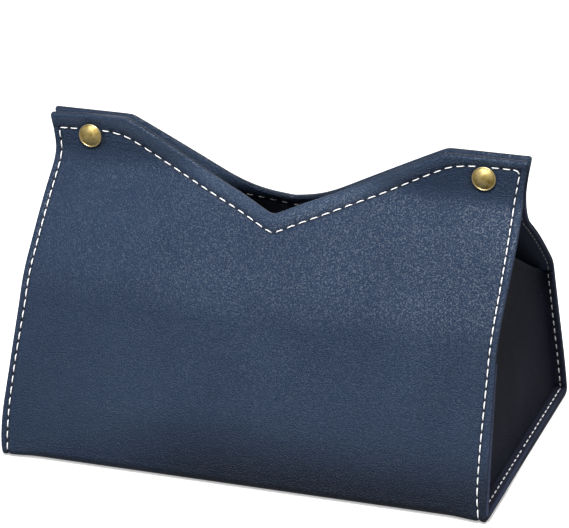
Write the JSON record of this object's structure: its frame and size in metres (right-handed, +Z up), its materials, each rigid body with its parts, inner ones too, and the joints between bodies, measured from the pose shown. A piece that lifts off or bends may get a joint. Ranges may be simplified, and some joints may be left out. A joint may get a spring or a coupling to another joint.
{
  "type": "tissue box cover",
  "caption": "Tent-shaped leather cover for a soft pack of tissues, with sewn side gussets and two notched flaps that fold in and snap together at the top.",
  "frame": {"origin": "on the table, under the middle of the base", "axes": "+X along the width, to the right seen from the front; +Y from front to back; +Z up"},
  "size_m": [0.212, 0.1364, 0.1345],
  "materials": {
    "navy_leather": "pebbled grain, satin sheen",
    "lining": "fine matt cloth",
    "board": "plain grey board",
    "aged_brass": "antique, worn bright at the rim",
    "spring_steel": "plain wire"
  },
  "bodies": {
    "box": {"wrap_leather": "navy_leather", "wrap_lining": "lining", "base_board": "board", "left_gusset": "navy_leather", "left_gusset_lining": "lining", "right_gusset": "navy_leather", "right_gusset_lining": "lining"},
    "front_flap": {"front_flap_leather": "navy_leather", "front_flap_lining": "lining", "left_snap_cap": "aged_brass", "left_snap_socket": "aged_brass", "left_socket_spring": "spring_steel", "right_snap_cap": "aged_brass", "right_snap_socket": "aged_brass", "right_socket_spring": "spring_steel"},
    "back_flap": {"back_flap_leather": "navy_leather", "back_flap_lining": "lining", "left_snap_stud": "aged_brass", "left_snap_back_cap": "aged_brass", "right_snap_stud": "aged_brass", "right_snap_back_cap": "aged_brass"}
  },
  "joints": [
    {"name": "front_flap_fold", "type": "hinge", "parent": "box", "child": "front_flap", "pos_m": [0, -0.05, 0.063], "axis": [1, 0, 0], "range_deg": [0, 60]},
    {"name": "back_flap_fold", "type": "hinge", "parent": "box", "child": "back_flap", "pos_m": [0, 0.05, 0.063], "axis": [-1, 0, 0], "range_deg": [0, 60]}
  ],
  "couplings": [
    {"joint": "back_flap_fold", "follows": "front_flap_fold", "ratio": 1}
  ]
}
